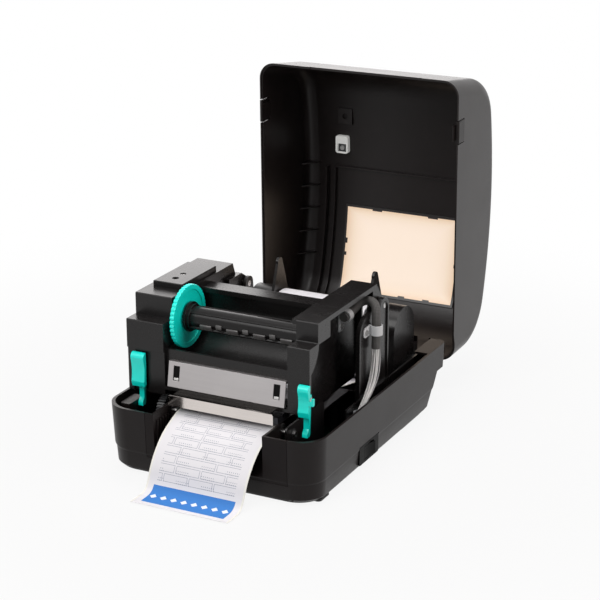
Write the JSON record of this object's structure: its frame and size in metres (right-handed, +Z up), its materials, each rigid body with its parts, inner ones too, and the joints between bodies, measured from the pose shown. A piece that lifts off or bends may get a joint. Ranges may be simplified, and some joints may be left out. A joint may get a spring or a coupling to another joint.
{
  "type": "desktop label printer",
  "caption": "Desktop thermal-transfer label printer with its cover open, a loaded label roll, swing-up print module, teal ribbon wheel and release levers.",
  "frame": {"origin": "on the floor under the middle of the base footprint", "axes": "+Z up, the front with the label exit faces -Y, +X to the right seen from the front"},
  "size_m": [0.2313, 0.5029, 0.3401],
  "materials": {
    "case_black": "satin, fine grain",
    "panel_black": "satin, fine grain",
    "mechanism_black": "satin",
    "teal_plastic": "semi-gloss",
    "plate_steel": "satin",
    "plate_black": "satin",
    "bar_chrome": "polished",
    "pin_steel": "turned",
    "foot_rubber": "matte",
    "platen_rubber": "ground matte",
    "label_paper": "matte",
    "core_card": "matte",
    "window_cream": "semi-gloss",
    "gear_black": "satin",
    "board_green": "semi-gloss",
    "motor_grey": "satin",
    "sink_alloy": "as extruded",
    "sleeve_braid": "woven",
    "wire_grey": "matte",
    "clip_grey": "satin",
    "grommet_grey": "matte",
    "light_white": "semi-gloss",
    "socket_black": "matte"
  },
  "bodies": {
    "base": {"base_tray": "case_black", "front_panel": "panel_black", "foot_pads": "foot_rubber", "base_screws": "pin_steel", "switch_bezel": "case_black", "switch_body": "socket_black", "power_inlet": "socket_black", "data_socket": "socket_black", "inner_deck": "mechanism_black", "left_side_plate": "plate_black", "right_side_plate": "plate_black", "platen_bushes": "gear_black", "drive_motor": "motor_grey", "main_board": "board_green", "gap_sensor": "mechanism_black", "label_strip": "label_paper", "right_upright": "mechanism_black", "module_hinge_pins": "pin_steel", "harness_sleeve": "sleeve_braid", "harness_wires": "wire_grey", "wire_grommet": "grommet_grey", "base_cable_clip": "clip_grey", "cover_hinge_pins": "pin_steel"},
    "cover": {"cover_shell": "case_black", "cover_window": "window_cream", "light_guide": "light_white", "light_guide_screw": "pin_steel"},
    "left_tab": {"left_cover_tab": "case_black"},
    "right_tab": {"right_cover_tab": "case_black"},
    "feed_key": {"feed_button": "case_black"},
    "power_key": {"power_rocker": "panel_black"},
    "print_module": {"module_frame": "mechanism_black", "gearbox_housing": "mechanism_black", "gearbox_lid": "mechanism_black", "module_screws": "pin_steel", "ribbon_motor": "motor_grey", "print_head": "sink_alloy", "head_springs": "pin_steel", "head_cover_plate": "plate_steel", "tear_bar": "bar_chrome", "lever_pins": "pin_steel", "module_cable_clip": "clip_grey"},
    "left_lever": {"left_release_lever": "teal_plastic"},
    "right_lever": {"right_release_lever": "teal_plastic"},
    "rewind": {"rewind_wheel": "teal_plastic", "rewind_spindle": "mechanism_black", "rewind_gear": "gear_black"},
    "ribbon_idler_gear": {"ribbon_idler": "gear_black"},
    "ribbon_rotor": {"ribbon_pinion": "gear_black"},
    "supply": {"supply_spindle": "mechanism_black"},
    "platen": {"platen_roller": "platen_rubber", "platen_shaft": "pin_steel", "platen_gear": "gear_black"},
    "drive_idler_gear": {"drive_idler": "gear_black"},
    "drive_rotor": {"drive_pinion": "gear_black"},
    "media_roll": {"label_roll": "label_paper", "roll_core": "core_card"},
    "left_guide": {"left_roll_guide": "mechanism_black"},
    "right_guide": {"right_roll_guide": "mechanism_black"},
    "guide_gear": {"guide_pinion": "gear_black"}
  },
  "joints": [
    {"name": "cover_hinge", "type": "hinge", "parent": "base", "child": "cover", "pos_m": [0, 0.14675, 0.036], "axis": [-1, 0, 0], "range_deg": [-89.2, 0]},
    {"name": "print_module_hinge", "type": "hinge", "parent": "base", "child": "print_module", "pos_m": [0, 0.04, 0.139], "axis": [-1, 0, 0], "range_deg": [0, 40], "deforming": ["harness_sleeve"]},
    {"name": "left_lever_hinge", "type": "hinge", "parent": "print_module", "child": "left_lever", "pos_m": [-0.094, -0.113, 0.092], "axis": [1, 0, 0], "range_deg": [0, 18], "stiffness_Nm_per_rad": 0.1, "springref_deg": -11.46},
    {"name": "right_lever_hinge", "type": "hinge", "parent": "print_module", "child": "right_lever", "pos_m": [0.0855, -0.113, 0.092], "axis": [1, 0, 0], "range_deg": [0, 18], "stiffness_Nm_per_rad": 0.1, "springref_deg": -11.46},
    {"name": "rewind_spin", "type": "hinge", "parent": "print_module", "child": "rewind", "pos_m": [0, -0.08, 0.141], "axis": [1, 0, 0], "continuous": true},
    {"name": "ribbon_idler_spin", "type": "hinge", "parent": "print_module", "child": "ribbon_idler_gear", "pos_m": [0, -0.05493, 0.11788], "axis": [1, 0, 0], "continuous": true},
    {"name": "ribbon_motor_spin", "type": "hinge", "parent": "print_module", "child": "ribbon_rotor", "pos_m": [0, -0.03, 0.115], "axis": [1, 0, 0], "continuous": true},
    {"name": "supply_spin", "type": "hinge", "parent": "print_module", "child": "supply", "pos_m": [0, -0.015, 0.098], "axis": [1, 0, 0], "continuous": true},
    {"name": "platen_spin", "type": "hinge", "parent": "base", "child": "platen", "pos_m": [0, -0.108, 0.052], "axis": [1, 0, 0], "continuous": true},
    {"name": "drive_idler_spin", "type": "hinge", "parent": "base", "child": "drive_idler_gear", "pos_m": [0, -0.0871, 0.02764], "axis": [1, 0, 0], "continuous": true},
    {"name": "drive_motor_spin", "type": "hinge", "parent": "base", "child": "drive_rotor", "pos_m": [0, -0.062, 0.028], "axis": [1, 0, 0], "continuous": true},
    {"name": "roll_spin", "type": "hinge", "parent": "base", "child": "media_roll", "pos_m": [0, 0.1, 0.075], "axis": [1, 0, 0], "continuous": true},
    {"name": "right_guide_slide", "type": "slide", "parent": "base", "child": "right_guide", "axis": [1, 0, 0], "range_m": [0, 0.007]},
    {"name": "left_guide_slide", "type": "slide", "parent": "base", "child": "left_guide", "axis": [-1, 0, 0], "range_m": [0, 0.007]},
    {"name": "guide_pinion_spin", "type": "hinge", "parent": "base", "child": "guide_gear", "pos_m": [0, 0.1, 0.026], "axis": [0, 0, 1], "range_deg": [-52, 2]},
    {"name": "feed_button_press", "type": "slide", "parent": "cover", "child": "feed_key", "axis": [0, -0.9999, -0.014], "range_m": [0, 0.0012], "stiffness_N_per_m": 600, "springref_m": -0.001},
    {"name": "power_rocker_tilt", "type": "hinge", "parent": "base", "child": "power_key", "pos_m": [0.1106, -0.034, 0.0155], "axis": [0, 0, 1], "range_deg": [0, 16]},
    {"name": "left_tab_press", "type": "hinge", "parent": "cover", "child": "left_tab", "pos_m": [-0.1136, 0.18895, 0.28686], "axis": [0, -0.014, 0.9999], "range_deg": [0, 4], "stiffness_Nm_per_rad": 0.3, "springref_deg": -2.86},
    {"name": "right_tab_press", "type": "hinge", "parent": "cover", "child": "right_tab", "pos_m": [0.1136, 0.18895, 0.28686], "axis": [0, 0.014, -0.9999], "range_deg": [0, 4], "stiffness_Nm_per_rad": 0.3, "springref_deg": -2.86}
  ],
  "couplings": [
    {"joint": "ribbon_idler_spin", "follows": "rewind_spin", "ratio": -0.78947},
    {"joint": "ribbon_motor_spin", "follows": "rewind_spin", "ratio": 2.5},
    {"joint": "drive_idler_spin", "follows": "platen_spin", "ratio": -0.77778},
    {"joint": "drive_motor_spin", "follows": "platen_spin", "ratio": 2},
    {"joint": "left_guide_slide", "follows": "right_guide_slide", "ratio": 1},
    {"joint": "guide_pinion_spin", "follows": "right_guide_slide", "rad_per_m": -125}
  ]
}
